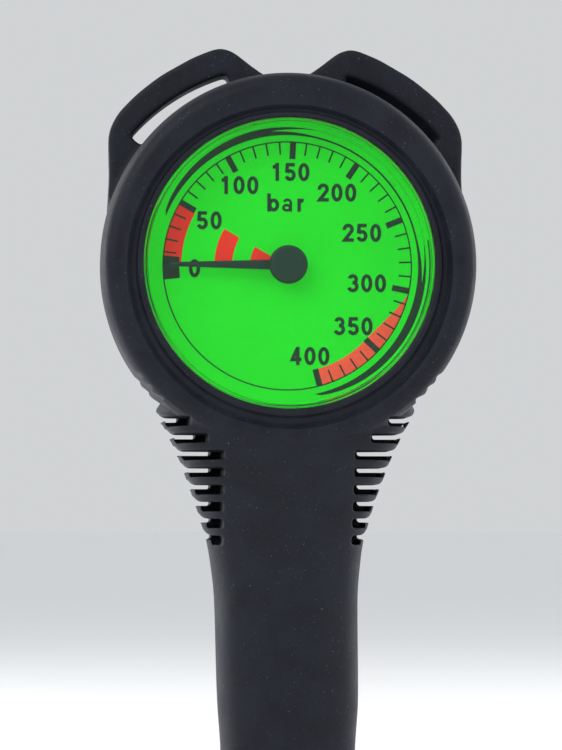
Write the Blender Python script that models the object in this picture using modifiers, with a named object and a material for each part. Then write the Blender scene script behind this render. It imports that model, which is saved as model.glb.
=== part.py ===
"""Contents gauge of a breathing-air pack: a Bourdon-tube pressure gauge in a rubber boot.

Dimensions are in millimetres and are scaled to metres as the meshes are made. The world origin is
the centre of the stem's inlet face, with +Z up the stem and the dial facing -Y.

Most pieces are laid out in the dial frame: u to the right, v up and h towards the reader, from the
centre of the dial. Pieces on the stem are laid out in the stem frame, which is the world frame.
"""

import math

import bmesh
import bpy
from mathutils import Matrix, Vector

MM = 0.001
GAP = 0.3                       # running and seating clearance between pieces

# Layout
DIAL_HEIGHT = 46.0              # dial centre above the inlet face

# Case, lens and dial, with heights h towards the reader
CASE_RADIUS = 31.5              # nominal size 63
CASE_FRONT = 17.0
CASE_BACK = -12.0
CASE_WALL = 1.6
CASE_INNER = 28.5
CASE_RIM_INNER = 30.5
LENS_SEAT = 11.9
DIAL_SEAT = 8.7
DIAL_SEAT_INNER = 26.3
DIAL_RADIUS = 27.9
DIAL_THICKNESS = 0.6
LENS_RADIUS = 30.2
LENS_BACK = 13.7
LENS_FLANGE_FRONT = 15.7
LENS_FRONT = 17.9
LENS_WINDOW = 27.7              # stepped part that stands in the boot's window
LENS_FACE = 27.0                # flat part of the lens's front
BOSS_RADIUS = 8.5
BOSS_DEPTH = 33.0               # from the dial's axis down to the boss's flat end
BOSS_ROOT = 29.0                # the same, to its end inside the case wall
PLUG_RADIUS = 3.8
PLUG_FLANGE = 5.2
SEAL_MAJOR = 29.4               # centreline of the lens's O-ring

# Boot
BOOT_RADIUS = 36.1
BOOT_BACK = -15.6
BOOT_CREST = 19.8               # front of the rounded bezel ring
BOOT_LIP_FRONT = 18.4
BOOT_LIP_BACK = 17.3
BOOT_WINDOW = 28.1
VENT_RADIUS = 7.0
HOSE_BORE = 9.2
SLEEVE_END = -110.0             # v of the sleeve's open end
LUG_SPAN = (-0.5, 6.5)
LUG_CORNERS = (                 # corners of the right-hand lug beyond the head
    (34.9, 8.5), (34.4, 17.5), (34.6, 26.2), (32.8, 29.9), (28.9, 33.9), (24.6, 37.3),
    (18.2, 41.0), (13.2, 43.0), (10.5, 42.4), (5.4, 37.9),
)
LUG_ROOTS = (13.0, 82.0)        # degrees from +u, where its edge leaves the head
SLOT_RADIUS = 38.15             # centreline of the strap slots
SLOT_WIDTH = 2.7
SLOT_FROM = 40.0                # degrees from +u, right-hand lug
SLOT_TO = 73.0
FIN_PITCH = 3.25
FIN_SLOTS = 8
FIN_FIRST = -29.3               # v of the highest slot
FIN_SLOT_HEIGHT = 1.25
FIN_SLOT_ENDS = (20.8, 14.2)    # inner ends of the highest and the deepest slots
FIN_SLOT_STEP = 3.3             # each slot reaches this much further in than the one above

# Movement, with heights h towards the reader
GEAR_MODULE = 0.3
PINION_TEETH = 10
SECTOR_FULL_TEETH = 85          # teeth the sector would have if it went right round
SECTOR_SIDE_TEETH = (-9, 2)     # teeth either side of the one that points at the pinion
SECTOR_DIRECTION = 150.0        # from the sector's pivot to the pinion
TAIL_LENGTH = 4.5
TAIL_DIRECTION = -15.0
BACK_PLATE = (-0.4, 0.6)
FRONT_PLATE = (5.6, 6.6)
PINION_SPAN = (2.0, 4.6)
SECTOR_SPAN = (3.0, 3.8)
LINK_SPAN = (1.9, 2.5)
COLLET_SPAN = (0.9, 1.7)
HAIRSPRING_SPAN = (1.05, 1.55)
HAIRSPRING_RADII = (1.75, 4.6)
HAIRSPRING_TURNS = 3.5
HAIRSPRING_THICKNESS = 0.12
HUB_RADIUS = 2.4                # round the sector's pivot
EYE_RADIUS = 1.5                # ends of the sector's tail and of the link
SHAFT_RADIUS = 0.55
PIN_RADIUS = 0.4
TUBE_RADIUS = 21.5
TUBE_WIDTH = 7.0                # along h
TUBE_DEPTH = 2.6                # across the coil
TUBE_WALL = 0.35
TUBE_MID = -4.5
TUBE_ROOT_ANGLE = 248.5
TUBE_TIP_ANGLE = -31.5
LINK_TIP = (17.04, -12.6)       # pin that joins the tube's end piece to the link
END_PIECE_HALF = (1.8, 3.8)     # across the tube, and along h
TIP_BOSS_RADIUS = 1.2

# Pointer
NEEDLE_SPAN = (11.3, 11.7)
NEEDLE_LENGTH = 22.8
NEEDLE_TIP_HALF = 0.38
NEEDLE_HUB = 3.2
CAP_RADIUS = 3.7
CAP_SPAN = (12.0, 12.95)
BUSHING_SPAN = (9.2, 11.0)
SHAFT_TOP = 10.9

# Screws
SOCKET_SCREW_SHANK = 0.9
PILLAR_SCREW_SHANK = 0.7
CASE_SCREW_SHANK = 0.8
CASE_SCREW_HEAD = 1.6
CASE_SCREW_SEAT = -10.9         # h of the seats in the case's back
SOCKET_SCREWS = {"socket_screw_left": (-4.5, -22.8), "socket_screw_right": (4.5, -22.8)}
CASE_SCREWS = {"case_screw_left": (-3.5, -25.2), "case_screw_right": (3.5, -25.2)}

# Socket and stem, with heights z above the inlet face
BLOCK_HALF_WIDTH = 7.0
BLOCK_Z = (19.0, 28.0)
BLOCK_Y = (0.7, 9.0)
STEM_RADIUS = 5.0
STEM_FLANGE_RADIUS = 7.8
GASKET_RADIUS = 7.6
STEM_FLANGE_Z = (9.4, 11.4)
HEX_ACROSS_FLATS = 14.0
PORT_RADIUS = 3.5
PORT_DEPTH = 8.0
SPOOL_RADIUS = 3.1
SPOOL_BORE = 0.8
SPOOL_ENDS = (7.4, -8.0)
SPOOL_SEATS = (4.6, -5.4)       # middles of the O-ring grooves
SPOOL_GROOVE = 2.0              # radius of their floors
AIRWAY_RADIUS = 0.8

# Widths of the boot's neck and sleeve: v, half width, front half depth, back half depth
NECK_SECTIONS = (
    (-14.0, 24.6, 12.0, 12.0),
    (-24.5, 24.6, 15.6, 13.6),
    (-27.7, 24.8, 18.0, 13.6),
    (-31.5, 23.0, 18.9, 13.5),
    (-34.5, 21.5, 19.0, 13.4),
    (-37.6, 20.1, 18.4, 13.2),
    (-42.0, 18.5, 16.6, 12.9),
    (-48.0, 16.6, 14.3, 12.5),
    (-53.5, 15.1, 12.9, 12.2),
    (-59.0, 14.4, 12.1, 12.0),
    (-66.0, 13.9, 12.0, 12.0),
    (-84.0, 13.7, 12.0, 12.0),
    (-93.0, 13.1, 11.9, 11.9),
    (-106.0, 12.8, 11.8, 11.8),
    (-107.2, 13.3, 12.4, 12.4),
    (-109.4, 13.3, 12.4, 12.4),
    (SLEEVE_END, 12.8, 11.9, 11.9),
)

PINION_PITCH = GEAR_MODULE * PINION_TEETH / 2
SECTOR_PITCH = GEAR_MODULE * SECTOR_FULL_TEETH / 2
DIAL_BACK = DIAL_SEAT + GAP
DIAL_FRONT = DIAL_BACK + DIAL_THICKNESS


def polar(radius, degrees, centre=(0.0, 0.0)):
    """Point at a radius and an angle round a centre."""
    angle = math.radians(degrees)
    return (centre[0] + radius * math.cos(angle), centre[1] + radius * math.sin(angle))


def arc(radius, start, end, count, centre=(0.0, 0.0)):
    """Points along an arc, both ends included."""
    return [polar(radius, start + (end - start) * i / count, centre) for i in range(count + 1)]


def circle(radius, centre=(0.0, 0.0), count=16):
    """Points round a full circle."""
    return [polar(radius, 360.0 * i / count, centre) for i in range(count)]


SECTOR_PIVOT = polar(PINION_PITCH + SECTOR_PITCH, SECTOR_DIRECTION + 180.0)
TAIL_END = polar(TAIL_LENGTH, TAIL_DIRECTION, SECTOR_PIVOT)
TUBE_ROOT = polar(TUBE_RADIUS, TUBE_ROOT_ANGLE)
PILLARS = ((-6.0, 4.0), (-5.5, -16.5), (8.3, -16.3))
PLATE_TOP = [(15.0, -9.8), (15.0, -3.5), (4.5, 6.5), (-8.5, 6.5)]
BACK_PLATE_CORNERS = [*PLATE_TOP, (-8.5, -18.0), (-7.0, -25.2), (7.0, -25.2), (10.8, -19.3)]
FRONT_PLATE_CORNERS = [*PLATE_TOP, (-8.5, -19.0), (10.8, -19.0)]


def clear_scene():
    """Start from an empty scene."""
    for obj in list(bpy.data.objects):
        bpy.data.objects.remove(obj, do_unlink=True)


def collection(name):
    """A collection linked to the scene."""
    made = bpy.data.collections.new(name)
    bpy.context.scene.collection.children.link(made)
    return made


def material(name, colour, roughness, metallic=0.0, alpha=1.0):
    """A Principled material."""
    made = bpy.data.materials.new(name)
    made.use_nodes = True
    shader = made.node_tree.nodes["Principled BSDF"]
    shader.inputs["Base Color"].default_value = (*colour, 1.0)
    shader.inputs["Roughness"].default_value = roughness
    shader.inputs["Metallic"].default_value = metallic
    shader.inputs["Alpha"].default_value = alpha
    return made


clear_scene()
PIECES = collection("contents_gauge")
CUTTERS = collection("cutters")


def empty(name, parent=None, location=(0.0, 0.0, 0.0)):
    """A named frame that pieces are parented to."""
    made = bpy.data.objects.new(name, None)
    made.parent = parent
    made.location = Vector(location) * MM
    PIECES.objects.link(made)
    return made


STEM_FRAME = empty("stem_frame")
DIAL_FRAME = empty("dial_frame", location=(0.0, 0.0, DIAL_HEIGHT))
DIAL_FRAME.rotation_euler = (math.pi / 2, 0.0, 0.0)
POINTER_PIVOT = empty("pointer_pivot", DIAL_FRAME)
SECTOR_PIVOT_FRAME = empty("sector_pivot", DIAL_FRAME, (*SECTOR_PIVOT, 0.0))
TUBE_FLEX_FRAME = empty("tube_flex_pivot", DIAL_FRAME, (*TUBE_ROOT, 0.0))
LINK_PIVOT_FRAME = empty("link_pivot", TUBE_FLEX_FRAME, (*(Vector(LINK_TIP) - Vector(TUBE_ROOT)), 0.0))
SWIVEL_FRAME = empty("swivel_pivot", STEM_FRAME)

# Where each frame's origin lies in the dial frame, or in the stem frame for the stem's pieces
FRAME_ORIGINS = {
    STEM_FRAME: (0.0, 0.0),
    SWIVEL_FRAME: (0.0, 0.0),
    DIAL_FRAME: (0.0, 0.0),
    POINTER_PIVOT: (0.0, 0.0),
    SECTOR_PIVOT_FRAME: SECTOR_PIVOT,
    TUBE_FLEX_FRAME: TUBE_ROOT,
    LINK_PIVOT_FRAME: LINK_TIP,
}


def put(obj, frame, at=(0.0, 0.0), height=0.0, cutter=False):
    """Parent an object to a frame, at a place given in the dial or stem frame."""
    origin = FRAME_ORIGINS[frame]
    obj.parent = frame
    obj.location = Vector((at[0] - origin[0], at[1] - origin[1], height)) * MM
    (CUTTERS if cutter else PIECES).objects.link(obj)
    if cutter:
        obj.hide_render = True
        obj.display_type = "WIRE"
    return obj


def mesh_object(name, bm, look=None, smooth=True):
    """Turn a bmesh, made in millimetres, into an object."""
    bmesh.ops.scale(bm, vec=(MM, MM, MM), verts=bm.verts)
    mesh = bpy.data.meshes.new(name)
    bm.to_mesh(mesh)
    bm.free()
    if smooth:
        mesh.shade_smooth()
        mesh.set_sharp_from_angle(angle=math.radians(35))
    if look:
        mesh.materials.append(look)
    return bpy.data.objects.new(name, mesh)


def rod(name, radius, low, high, look=None, sides=16, matrix=Matrix()):
    """A cylinder along the local Z axis."""
    bm = bmesh.new()
    middle = Matrix.Translation((0.0, 0.0, (low + high) / 2))
    bmesh.ops.create_cone(
        bm, cap_ends=True, segments=sides, radius1=radius, radius2=radius,
        depth=high - low, matrix=matrix @ middle,
    )
    return mesh_object(name, bm, look)


def block(name, low, high, look=None, matrix=Matrix()):
    """A box between two corners."""
    low, high = Vector(low), Vector(high)
    bm = bmesh.new()
    size = Matrix.Diagonal((*(high - low), 1.0))
    bmesh.ops.create_cube(bm, size=1.0, matrix=matrix @ Matrix.Translation((low + high) / 2) @ size)
    return mesh_object(name, bm, look, smooth=False)


def turned(name, profile, look=None, steps=40, closed=False, sweep=360.0, start=0.0):
    """A profile of (radius, height) points, turned about the local Z axis."""
    bm = bmesh.new()
    turn = Matrix.Rotation(math.radians(start), 4, "Z")
    verts = [bm.verts.new(turn @ Vector((r, 0.0, h))) for r, h in profile]
    for a, b in zip(verts, verts[1:]):
        bm.edges.new((a, b))
    if closed:
        bm.edges.new((verts[-1], verts[0]))
    obj = mesh_object(name, bm, look)
    screw = obj.modifiers.new("turn", "SCREW")
    screw.angle = math.radians(sweep)
    screw.steps = steps
    screw.render_steps = steps
    screw.use_smooth_shade = True
    screw.use_merge_vertices = True
    screw.merge_threshold = 0.00001
    return obj


def ring(name, major, minor, height, look, steps=36, sides=6):
    """An O-ring: a round section turned about the local Z axis."""
    section = [polar(minor, 90.0 - 360.0 * i / sides, (major, height)) for i in range(sides)]
    return turned(name, section, look, steps=steps, closed=True)


def flat(name, outlines, low, high, look=None):
    """A flat piece: a filled 2D curve with holes, as thick as high minus low, at the height low."""
    curve = bpy.data.curves.new(name, "CURVE")
    curve.dimensions = "2D"
    curve.fill_mode = "BOTH"
    curve.extrude = (high - low) / 2 * MM
    for outline in outlines:
        spline = curve.splines.new("POLY")
        spline.points.add(len(outline) - 1)
        for point, (x, y) in zip(spline.points, outline):
            point.co = (x * MM, y * MM, 0.0, 1.0)
        spline.use_cyclic_u = True
    if look:
        curve.materials.append(look)
    return bpy.data.objects.new(name, curve)


def as_mesh(obj, lift):
    """Replace a curve object by its welded mesh, lifted to its middle height."""
    holder = bpy.context.scene.collection
    holder.objects.link(obj)
    graph = bpy.context.evaluated_depsgraph_get()
    mesh = bpy.data.meshes.new_from_object(obj.evaluated_get(graph))
    holder.objects.unlink(obj)
    bm = bmesh.new()
    bm.from_mesh(mesh)
    bmesh.ops.remove_doubles(bm, verts=bm.verts, dist=0.000001)
    bmesh.ops.translate(bm, verts=bm.verts, vec=(0.0, 0.0, lift * MM))
    bm.to_mesh(mesh)
    bm.free()
    name = obj.name
    bpy.data.objects.remove(obj)
    return bpy.data.objects.new(name, mesh)


def flat_mesh(name, outlines, low, high, look=None):
    """A flat piece as a mesh, which Boolean modifiers can work on."""
    return as_mesh(flat(name, outlines, low, high, look), (low + high) / 2)


def combine(obj, other, operation):
    """Add an EXACT Boolean modifier that keeps reading the other object."""
    modifier = obj.modifiers.new(f"{operation.lower()}_{other.name}", "BOOLEAN")
    modifier.operation = operation
    modifier.solver = "EXACT"
    modifier.object = other
    return obj


def softened(corners, cut=1.5, count=2):
    """An outline whose corners are rounded off by short curves."""
    points = []
    for before, corner, after in zip(corners[-1:] + corners[:-1], corners, corners[1:] + corners[:1]):
        here = Vector(corner)
        to_before = Vector(before) - here
        to_after = Vector(after) - here
        start = here + to_before.normalized() * min(cut, to_before.length / 2.2)
        end = here + to_after.normalized() * min(cut, to_after.length / 2.2)
        for i in range(count + 1):
            t = i / count
            point = start * (1 - t) ** 2 + here * 2 * t * (1 - t) + end * t ** 2
            points.append((point.x, point.y))
    return points


RUBBER = material("rubber", (0.012, 0.013, 0.018), 0.55)
SEAL = material("seal_rubber", (0.02, 0.02, 0.02), 0.6)
CLEAR = material("clear_plastic", (0.9, 0.95, 0.9), 0.05, alpha=0.25)
LUMINOUS = material("luminous_green", (0.01, 0.6, 0.02), 0.5)
INK = material("pointer_black", (0.01, 0.03, 0.02), 0.5)
BRASS = material("brass", (0.75, 0.55, 0.25), 0.3, metallic=1.0)
STEEL = material("steel", (0.5, 0.5, 0.52), 0.3, metallic=1.0)


def rounded_section(width, front, back, corner=2.6, count=28):
    """Points round a rounded section: half width along u, front and back half depths along h."""
    points = []
    for i in range(count):
        angle = 2 * math.pi * i / count
        across = math.copysign(abs(math.cos(angle)) ** (2 / corner), math.cos(angle))
        deep = math.copysign(abs(math.sin(angle)) ** (2 / corner), math.sin(angle))
        points.append((width * across, deep * (front if deep > 0 else back)))
    return points


def neck():
    """The neck and hose sleeve, lofted down from inside the head."""
    bm = bmesh.new()
    loops = []
    for v, width, front, back in NECK_SECTIONS:
        outline = rounded_section(width, front, back)
        loops.append([bm.verts.new((u, v, h)) for u, h in outline])
    for upper, lower in zip(loops, loops[1:]):
        count = len(upper)
        for i in range(count):
            j = (i + 1) % count
            bm.faces.new((upper[i], upper[j], lower[j], lower[i]))
    bm.faces.new(loops[0])
    bm.faces.new(loops[-1])
    bmesh.ops.recalc_face_normals(bm, faces=bm.faces)
    return mesh_object("rubber_boot", bm, RUBBER)


def head_solid():
    """The boot's round head, not yet hollow."""
    profile = [
        (0.0, BOOT_LIP_FRONT),
        (BOOT_WINDOW + 0.9, BOOT_LIP_FRONT),
        (BOOT_WINDOW + 1.5, BOOT_CREST - 0.9),
        (BOOT_RADIUS - 4.6, BOOT_CREST - 0.1),
        (BOOT_RADIUS - 3.2, BOOT_CREST),
        (BOOT_RADIUS - 1.6, BOOT_CREST - 0.9),
        (BOOT_RADIUS - 0.5, BOOT_CREST - 2.6),
        (BOOT_RADIUS, BOOT_CREST - 5.0),
        (BOOT_RADIUS, 4.0),
        (BOOT_RADIUS - 0.5, -8.0),
        (BOOT_RADIUS - 1.6, BOOT_BACK + 2.4),
        (BOOT_RADIUS - 4.0, BOOT_BACK),
        (0.0, BOOT_BACK),
    ]
    return turned("head_solid", profile, steps=48)


def lug(name, side):
    """A strap lug with its curved slot; side is 1 for the right and -1 for the left."""
    low_root, high_root = (polar(BOOT_RADIUS - 2.4, angle) for angle in LUG_ROOTS)
    corners = [low_root, *LUG_CORNERS, high_root]
    slot = arc(SLOT_RADIUS + SLOT_WIDTH / 2, SLOT_FROM, SLOT_TO, 6)
    slot += arc(SLOT_RADIUS - SLOT_WIDTH / 2, SLOT_TO, SLOT_FROM, 6)
    outlines = [softened(corners, cut=1.6), softened(slot, cut=0.9, count=2)]
    mirrored = [[(side * x, y) for x, y in outline] for outline in outlines]
    return flat_mesh(name, mirrored, *LUG_SPAN)


def head_hollow():
    """The space for the case, with the lens window in front and the vent behind."""
    profile = [
        (0.0, BOOT_CREST + 5.0),
        (BOOT_WINDOW, BOOT_CREST + 5.0),
        (BOOT_WINDOW, BOOT_LIP_BACK),
        (CASE_RADIUS + GAP, BOOT_LIP_BACK),
        (CASE_RADIUS + GAP, CASE_BACK - GAP),
        (VENT_RADIUS, CASE_BACK - GAP),
        (VENT_RADIUS, BOOT_BACK - 5.0),
        (0.0, BOOT_BACK - 5.0),
    ]
    return turned("head_hollow", profile, steps=48)


def fin_slots():
    """The slots that leave the fins on both sides of the neck, as one cutter."""
    bm = bmesh.new()
    first_end, deepest_end = FIN_SLOT_ENDS
    for i in range(FIN_SLOTS):
        v = FIN_FIRST - FIN_PITCH * i
        inner = max(deepest_end, first_end - FIN_SLOT_STEP * i)
        for side in (-1, 1):
            middle = Matrix.Translation((side * (inner + 40.0) / 2, v, 0.0))
            size = Matrix.Diagonal((40.0 - inner, FIN_SLOT_HEIGHT, 60.0, 1.0))
            bmesh.ops.create_cube(bm, size=1.0, matrix=middle @ size)
    return mesh_object("fin_slots", bm, smooth=False)


def build_boot():
    """The rubber boot: head, lugs, finned neck and sleeve in one moulding."""
    boot = put(neck(), DIAL_FRAME)
    combine(boot, put(head_solid(), DIAL_FRAME, cutter=True), "UNION")
    for name, side in (("lug_right", 1), ("lug_left", -1)):
        combine(boot, put(lug(name, side), DIAL_FRAME, cutter=True), "UNION")
    combine(boot, put(head_hollow(), DIAL_FRAME, cutter=True), "DIFFERENCE")
    bore = rod("hose_bore", HOSE_BORE, SLEEVE_END + DIAL_HEIGHT - 5.0, DIAL_HEIGHT - 25.0, sides=32)
    combine(boot, put(bore, STEM_FRAME, cutter=True), "DIFFERENCE")
    combine(boot, put(fin_slots(), DIAL_FRAME, cutter=True), "DIFFERENCE")


def build_case():
    """The metal case, its stem boss, and the screw seats in its back."""
    profile = [
        (CASE_RIM_INNER, CASE_FRONT),
        (CASE_RADIUS, CASE_FRONT),
        (CASE_RADIUS, CASE_BACK),
        (PLUG_RADIUS + GAP, CASE_BACK),
        (PLUG_RADIUS + GAP, CASE_BACK + CASE_WALL),
        (CASE_INNER, CASE_BACK + CASE_WALL),
        (CASE_INNER, DIAL_SEAT - 1.7),
        (DIAL_SEAT_INNER, DIAL_SEAT - 1.7),
        (DIAL_SEAT_INNER, DIAL_SEAT),
        (DIAL_RADIUS + GAP, DIAL_SEAT),
        (DIAL_RADIUS + GAP, LENS_SEAT),
        (CASE_RIM_INNER, LENS_SEAT),
    ]
    case = put(turned("gauge_case", profile, BRASS, closed=True), DIAL_FRAME)
    boss = rod("stem_boss", BOSS_RADIUS, DIAL_HEIGHT - BOSS_DEPTH, DIAL_HEIGHT - BOSS_ROOT, sides=24)
    combine(case, put(boss, STEM_FRAME, cutter=True), "UNION")
    hole = rod("stem_hole", STEM_RADIUS + GAP, 0.0, DIAL_HEIGHT - 20.0, sides=24)
    combine(case, put(hole, STEM_FRAME, cutter=True), "DIFFERENCE")
    for name, at in CASE_SCREWS.items():
        hole, counterbore = CASE_SCREW_SHANK + GAP, CASE_SCREW_HEAD + GAP
        inside, outside = CASE_SCREW_SEAT + 2.9, CASE_BACK - 2.0
        seat = [
            (0.0, inside), (hole, inside), (hole, CASE_SCREW_SEAT), (counterbore, CASE_SCREW_SEAT),
            (counterbore, outside), (0.0, outside),
        ]
        cutter = turned(f"{name}_seat", seat, steps=16)
        combine(case, put(cutter, DIAL_FRAME, at, cutter=True), "DIFFERENCE")


def build_window():
    """The lens, its seal, its retaining ring and the spacer under it."""
    lens = [
        (0.0, LENS_FRONT),
        (LENS_FACE, LENS_FRONT),
        (LENS_WINDOW, LENS_FRONT - 0.8),
        (LENS_WINDOW, LENS_FLANGE_FRONT),
        (LENS_RADIUS, LENS_FLANGE_FRONT),
        (LENS_RADIUS, LENS_BACK),
        (0.0, LENS_BACK),
    ]
    put(turned("lens", lens, CLEAR), DIAL_FRAME)
    retaining = [
        (LENS_WINDOW + 0.9, CASE_FRONT),
        (LENS_RADIUS, CASE_FRONT),
        (LENS_RADIUS, LENS_FLANGE_FRONT + GAP),
        (LENS_WINDOW + 0.9, LENS_FLANGE_FRONT + GAP),
    ]
    put(turned("lens_retaining_ring", retaining, STEEL, closed=True), DIAL_FRAME)
    seal_minor = (LENS_BACK - LENS_SEAT) / 2 - GAP
    seal_height = (LENS_BACK + LENS_SEAT) / 2
    put(ring("lens_o_ring", SEAL_MAJOR, seal_minor, seal_height, SEAL, steps=40), DIAL_FRAME)
    spacer = [
        (DIAL_SEAT_INNER + 0.3, LENS_BACK - GAP),
        (DIAL_RADIUS, LENS_BACK - GAP),
        (DIAL_RADIUS, DIAL_FRONT + GAP),
        (DIAL_SEAT_INNER + 0.3, DIAL_FRONT + GAP),
    ]
    put(turned("dial_spacer_ring", spacer, LUMINOUS, closed=True), DIAL_FRAME)


def build_dial():
    """The luminous dial plate."""
    outlines = [circle(DIAL_RADIUS, count=48), circle(1.8)]
    middle = (DIAL_BACK + DIAL_FRONT) / 2
    put(flat("dial_plate", outlines, DIAL_BACK, DIAL_FRONT, LUMINOUS), DIAL_FRAME, height=middle)


def build_pointer():
    """The needle, its cap and its bushing, with the needle pointing to zero on the left."""
    needle = arc(NEEDLE_HUB, -155.0, 155.0, 16)
    needle += [(-NEEDLE_LENGTH, NEEDLE_TIP_HALF), (-NEEDLE_LENGTH, -NEEDLE_TIP_HALF)]
    put(flat("pointer", [needle], *NEEDLE_SPAN, INK), POINTER_PIVOT, height=sum(NEEDLE_SPAN) / 2)
    foot, top = CAP_SPAN
    cap = [
        (0.0, top), (CAP_RADIUS - 1.1, top - 0.05), (CAP_RADIUS - 0.2, top - 0.3),
        (CAP_RADIUS, top - 0.65), (CAP_RADIUS, foot), (0.0, foot),
    ]
    put(turned("pointer_cap", cap, INK, steps=32), POINTER_PIVOT)
    put(sleeve("pointer_bushing", BUSHING_SPAN), POINTER_PIVOT)


def sleeve(name, span):
    """A short brass sleeve that is pressed on the pinion's shaft."""
    foot, top = span
    inner, outer = SHAFT_RADIUS + GAP, SHAFT_RADIUS + 0.85
    profile = [(inner, top), (outer, top), (outer, foot), (inner, foot)]
    return turned(name, profile, BRASS, steps=20, closed=True)


def teeth(pitch_radius, directions, centre=(0.0, 0.0)):
    """Outline points of gear teeth at the given directions."""
    points = []
    addendum, dedendum = 0.8 * GEAR_MODULE, 1.2 * GEAR_MODULE
    for direction in directions:
        for radius, half in (
            (pitch_radius - dedendum, -0.22),
            (pitch_radius + addendum, -0.09),
            (pitch_radius + addendum, 0.09),
            (pitch_radius - dedendum, 0.22),
        ):
            points.append(polar(radius, direction + math.degrees(half / pitch_radius), centre))
    return points


def build_pinion():
    """The pinion and its shaft, the collet and the hairspring."""
    step = 360.0 / PINION_TEETH
    towards_sector = SECTOR_DIRECTION + 180.0
    directions = [towards_sector + step * (i + 0.5) for i in range(PINION_TEETH)]
    arbor = put(flat_mesh("pinion_arbor", [teeth(PINION_PITCH, directions)], *PINION_SPAN), POINTER_PIVOT)
    arbor.data.materials.append(BRASS)
    shaft = rod("pinion_shaft", SHAFT_RADIUS, BACK_PLATE[0] - 0.5, SHAFT_TOP)
    combine(arbor, put(shaft, POINTER_PIVOT, cutter=True), "UNION")
    put(sleeve("hairspring_collet", COLLET_SPAN), POINTER_PIVOT)


def build_hairspring():
    """A flat spiral ribbon round the collet, and the stud that holds its outer end."""
    inner, outer = HAIRSPRING_RADII
    per_turn = 14
    count = int(HAIRSPRING_TURNS * per_turn)
    bm = bmesh.new()
    columns = []
    for i in range(count + 1):
        u, v = polar(inner + (outer - inner) * i / count, 360.0 * i / per_turn)
        columns.append([bm.verts.new((u, v, h)) for h in HAIRSPRING_SPAN])
    for (a, b), (c, d) in zip(columns, columns[1:]):
        bm.faces.new((a, c, d, b))
    spring = put(mesh_object("hairspring", bm, BRASS), DIAL_FRAME)
    ribbon = spring.modifiers.new("ribbon", "SOLIDIFY")
    ribbon.thickness = HAIRSPRING_THICKNESS * MM
    ribbon.offset = 0.0
    stud = rod("hairspring_stud", 0.45, BACK_PLATE[1] + GAP, 2.2, BRASS)
    put(stud, DIAL_FRAME, polar(outer + 0.8, 360.0 * HAIRSPRING_TURNS))


def build_sector():
    """The sector gear with its tail, its arbor and the pin for the link."""
    pitch_step = 360.0 / SECTOR_FULL_TEETH
    first, last = SECTOR_SIDE_TEETH
    directions = [SECTOR_DIRECTION + pitch_step * i for i in range(first, last + 1)]
    outline = teeth(SECTOR_PITCH, directions, SECTOR_PIVOT)
    outline += arc(HUB_RADIUS, 235.0, 255.0, 2, SECTOR_PIVOT)
    outline += arc(EYE_RADIUS, TAIL_DIRECTION - 90.0, TAIL_DIRECTION + 90.0, 8, TAIL_END)
    outline += arc(HUB_RADIUS, 55.0, 40.0, 1, SECTOR_PIVOT)
    window = arc(10.4, directions[1], directions[-2], 8, SECTOR_PIVOT)
    window += arc(5.0, directions[-3], directions[2], 4, SECTOR_PIVOT)
    holes = [window, circle(SHAFT_RADIUS + GAP, SECTOR_PIVOT), circle(PIN_RADIUS + GAP, TAIL_END)]
    local = [[(x - SECTOR_PIVOT[0], y - SECTOR_PIVOT[1]) for x, y in loop] for loop in [outline, *holes]]
    gear = flat("sector_gear", local, *SECTOR_SPAN, BRASS)
    put(gear, SECTOR_PIVOT_FRAME, SECTOR_PIVOT, height=sum(SECTOR_SPAN) / 2)
    arbor = rod("sector_arbor", SHAFT_RADIUS, BACK_PLATE[0] - 0.5, FRONT_PLATE[1] + GAP, STEEL)
    put(arbor, SECTOR_PIVOT_FRAME, SECTOR_PIVOT)
    pin = [(0.0, 4.6), (0.9, 4.6), (0.9, 4.1), (PIN_RADIUS, 4.1), (PIN_RADIUS, 1.5), (0.0, 1.5)]
    put(turned("tail_pin", pin, STEEL, steps=16), SECTOR_PIVOT_FRAME, TAIL_END)


def build_link():
    """The link between the tube's end and the sector's tail, and its pin."""
    reach = Vector(TAIL_END) - Vector(LINK_TIP)
    along = math.degrees(math.atan2(reach.y, reach.x))
    outline = arc(EYE_RADIUS, along + 90.0, along + 270.0, 10)
    outline += arc(EYE_RADIUS, along - 90.0, along + 90.0, 10, reach)
    holes = [circle(PIN_RADIUS + GAP), circle(PIN_RADIUS + GAP + 0.25, reach)]
    link = flat("connecting_link", [outline, *holes], *LINK_SPAN, BRASS)
    put(link, LINK_PIVOT_FRAME, LINK_TIP, height=sum(LINK_SPAN) / 2)


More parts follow.
